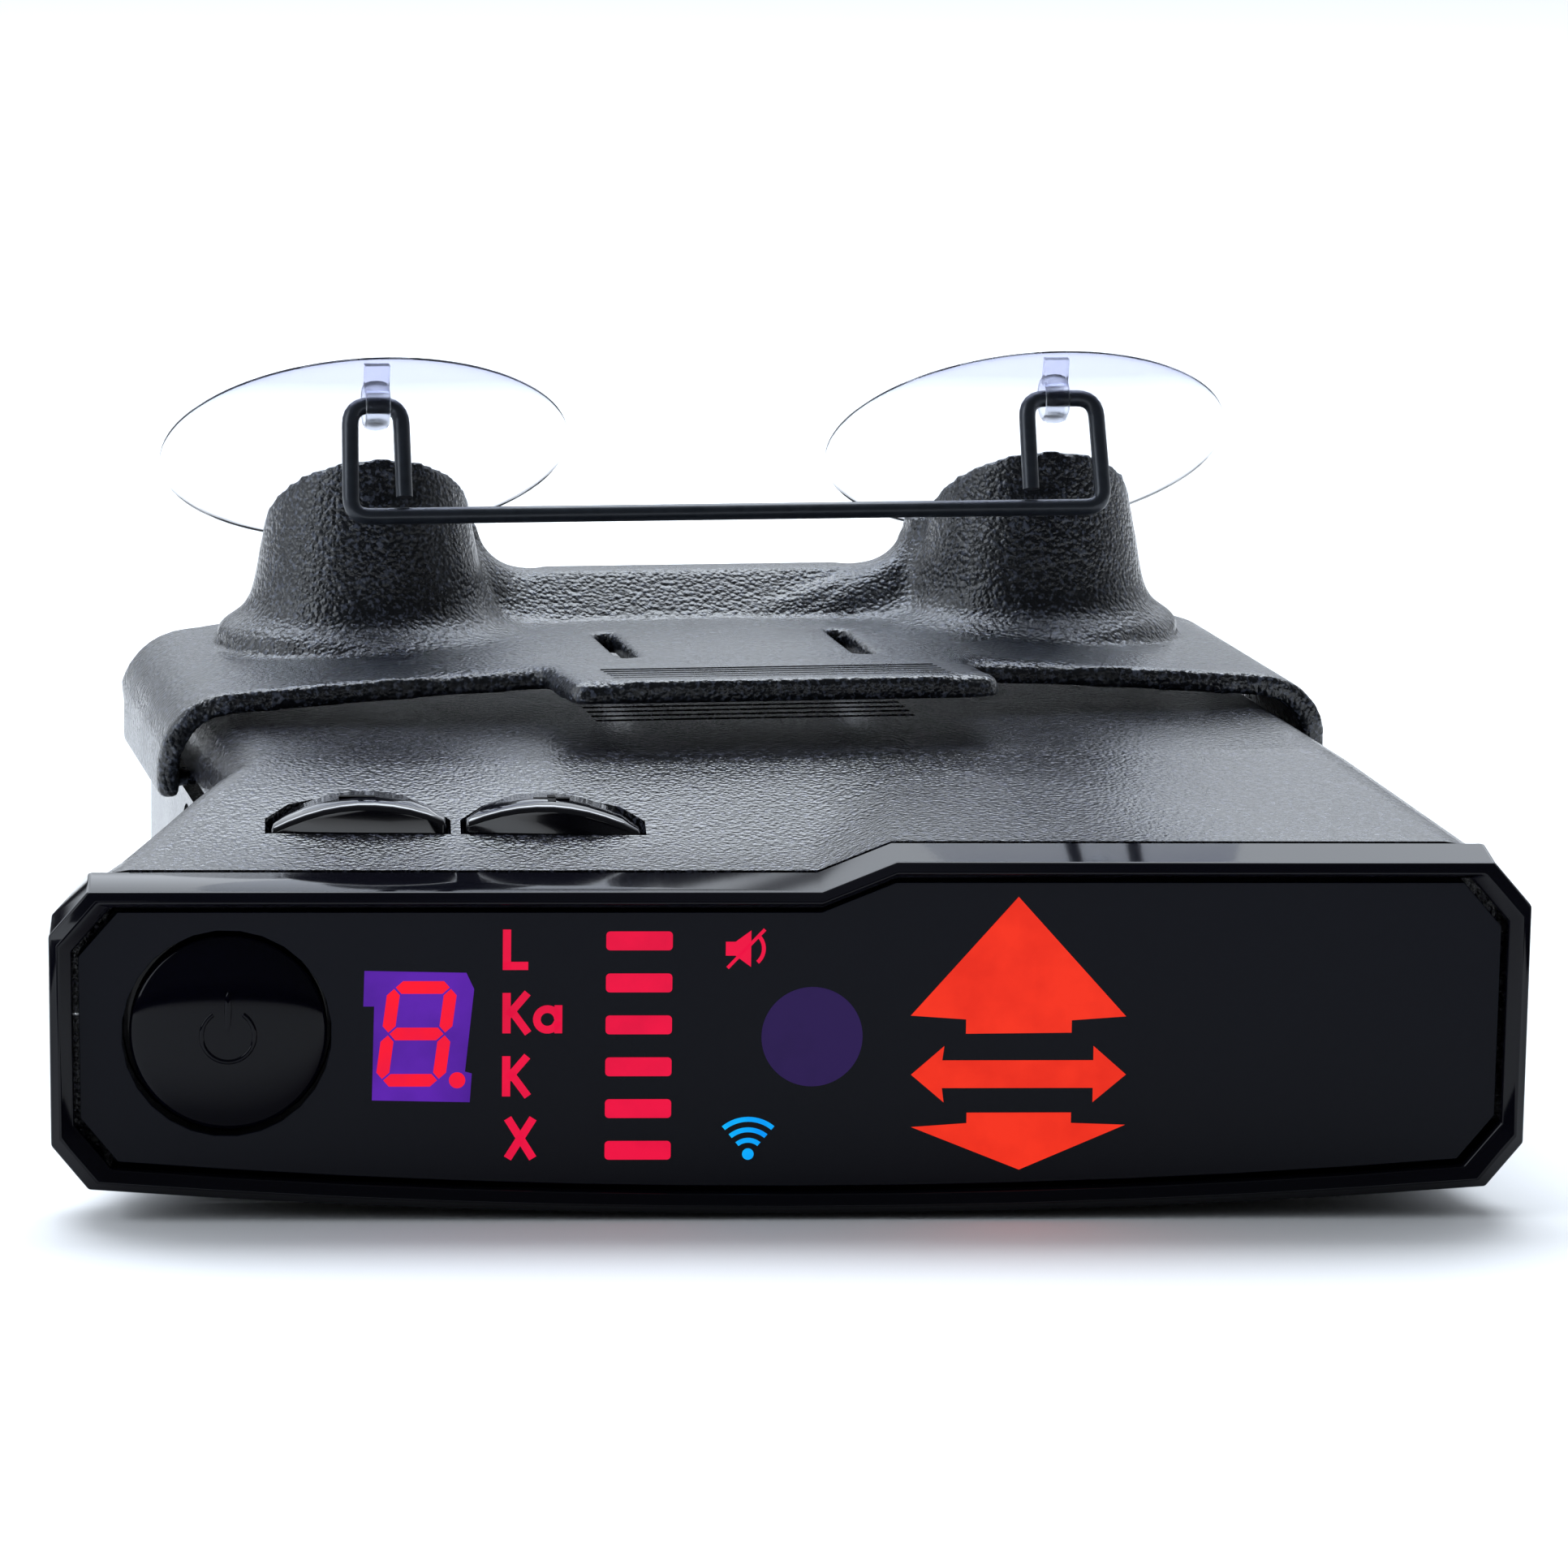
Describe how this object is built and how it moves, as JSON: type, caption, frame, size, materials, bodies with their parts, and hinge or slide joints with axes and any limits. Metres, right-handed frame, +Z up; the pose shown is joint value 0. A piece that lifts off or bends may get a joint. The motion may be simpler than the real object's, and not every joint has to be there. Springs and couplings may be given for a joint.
{
  "type": "radar detector",
  "caption": "Windscreen-mounted radar detector: wedge-fronted case with a turned display, power button, arched keys and a slide-on suction-cup bracket.",
  "frame": {"origin": "middle of the whole object's footprint, at the case's underside", "axes": "+Z up, +Y from the display towards the rear window and the road ahead, +X to the right as the driver sees the display"},
  "size_m": [0.0759, 0.1046, 0.0398],
  "materials": {
    "gloss_black": "piano-black gloss",
    "smoked_window": "smoked, glossy",
    "matte_charcoal": "fine grained matte",
    "clear_vinyl": "clear, soft, glossy",
    "dark_wire": "dark blue-grey satin",
    "circuit_board": "solder resist",
    "black_component": "satin",
    "bright_steel": "bright",
    "cast_zinc": "as cast",
    "red_light_guide": "translucent red",
    "blue_light_guide": "translucent blue",
    "violet_lens": "violet, glossy"
  },
  "bodies": {
    "case": {"front_bezel": "gloss_black", "display_window": "smoked_window", "power_switch": "black_component", "display_board": "circuit_board", "digit_module": "red_light_guide", "band_light_guide": "red_light_guide", "bar_light_guide": "red_light_guide", "mute_light_guide": "red_light_guide", "wireless_light_guide": "blue_light_guide", "arrow_light_guide": "red_light_guide", "light_sensor": "violet_lens", "lower_case": "matte_charcoal", "upper_case": "matte_charcoal", "key_board": "circuit_board", "minus_switch": "black_component", "plus_switch": "black_component", "case_screw_1": "bright_steel", "case_screw_2": "bright_steel", "case_screw_3": "bright_steel", "case_screw_4": "bright_steel", "main_board": "circuit_board", "receiver_cover": "bright_steel", "signal_processor": "black_component", "wireless_module": "bright_steel", "horn_antenna": "cast_zinc", "speaker": "black_component", "power_jack": "black_component", "data_socket": "bright_steel", "rear_window": "smoked_window", "laser_sensor": "violet_lens", "flat_cable": "black_component"},
    "power": {"power_button": "gloss_black"},
    "minus": {"minus_button": "gloss_black"},
    "plus": {"plus_button": "gloss_black"},
    "bracket": {"mount_bracket": "matte_charcoal", "suction_cup_left": "clear_vinyl", "suction_cup_right": "clear_vinyl"},
    "wire": {"release_wire": "dark_wire"}
  },
  "joints": [
    {"name": "power_press", "type": "slide", "parent": "case", "child": "power", "axis": [0.1236, 0.9923, 0], "range_m": [0, 0.0005], "stiffness_N_per_m": 400, "springref_m": -0.0005},
    {"name": "minus_press", "type": "slide", "parent": "case", "child": "minus", "axis": [0, 0, -1], "range_m": [0, 0.0005], "stiffness_N_per_m": 400, "springref_m": -0.0005},
    {"name": "plus_press", "type": "slide", "parent": "case", "child": "plus", "axis": [0, 0, -1], "range_m": [0, 0.0005], "stiffness_N_per_m": 400, "springref_m": -0.0005},
    {"name": "bracket_slide", "type": "slide", "parent": "case", "child": "bracket", "axis": [0, 1, 0], "range_m": [0, 0.06]},
    {"name": "wire_swing", "type": "hinge", "parent": "bracket", "child": "wire", "pos_m": [0.00402, -0.00348, 0.0369], "axis": [-1, 0, 0], "range_deg": [0, 80]}
  ]
}
